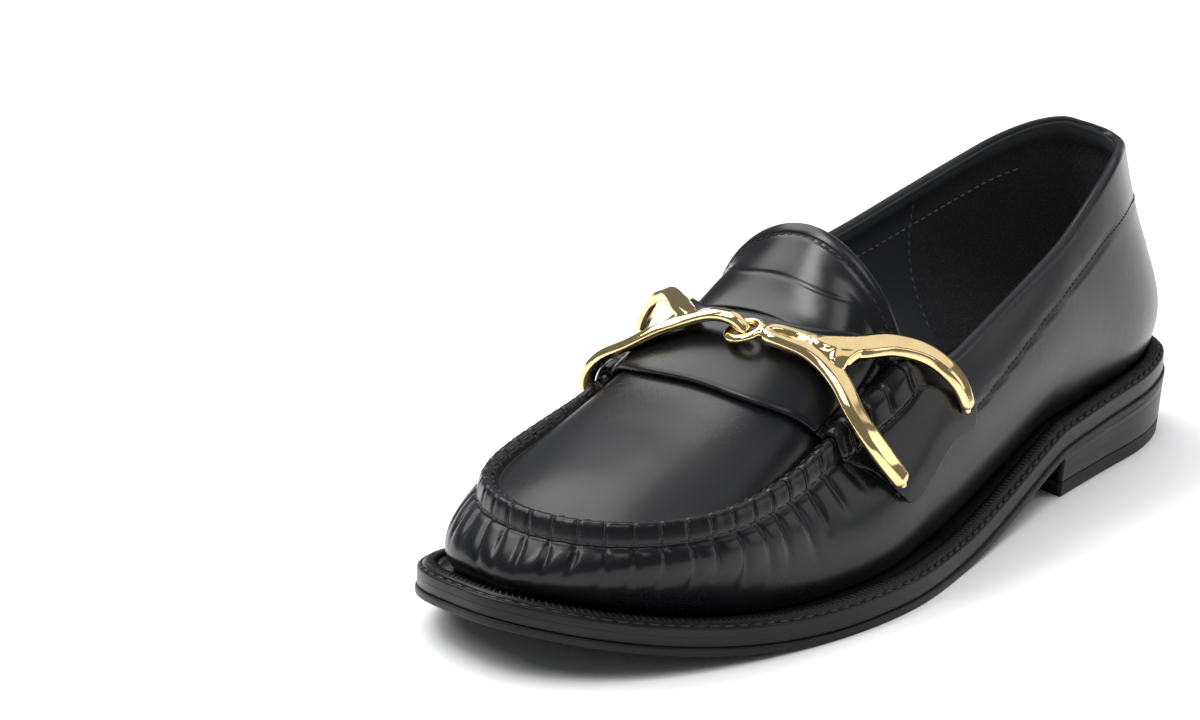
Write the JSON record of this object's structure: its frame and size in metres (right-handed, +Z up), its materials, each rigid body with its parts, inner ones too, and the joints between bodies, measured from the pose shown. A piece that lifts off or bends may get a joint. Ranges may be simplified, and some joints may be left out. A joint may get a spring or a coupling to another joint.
{
  "type": "loafer",
  "caption": "Left moccasin loafer in smooth black leather with a raised apron seam, a saddle strap with gold-toned metal fork bars, a rounded tongue, a ribbed welt and a low block heel",
  "frame": {"origin": "The middle of the bounding box on the floor under the sole. The shoe stands on its heel and forefoot as on a floor.", "axes": "+X to the toe, +Y to the wearer's left, which is the outer side of this left shoe, +Z up."},
  "size_m": [0.2912, 0.1042, 0.0918],
  "materials": {
    "black_leather": "polished",
    "grained_leather": "grained matt",
    "lining_leather": "matt",
    "welt_leather": "ribbed, semi-gloss",
    "sole_leather": "waxed edge, semi-gloss",
    "heel_rubber": "semi-matt",
    "gold_metal": "polished"
  },
  "bodies": {
    "root": {"upper": "black_leather", "tongue": "black_leather", "strap": "black_leather", "back_strip": "grained_leather", "insole": "lining_leather", "welt": "welt_leather", "midsole": "sole_leather", "outsole": "sole_leather", "heel": "sole_leather", "top_lift": "heel_rubber", "bar_outer": "gold_metal", "bar_inner": "gold_metal"}
  },
  "joints": []
}
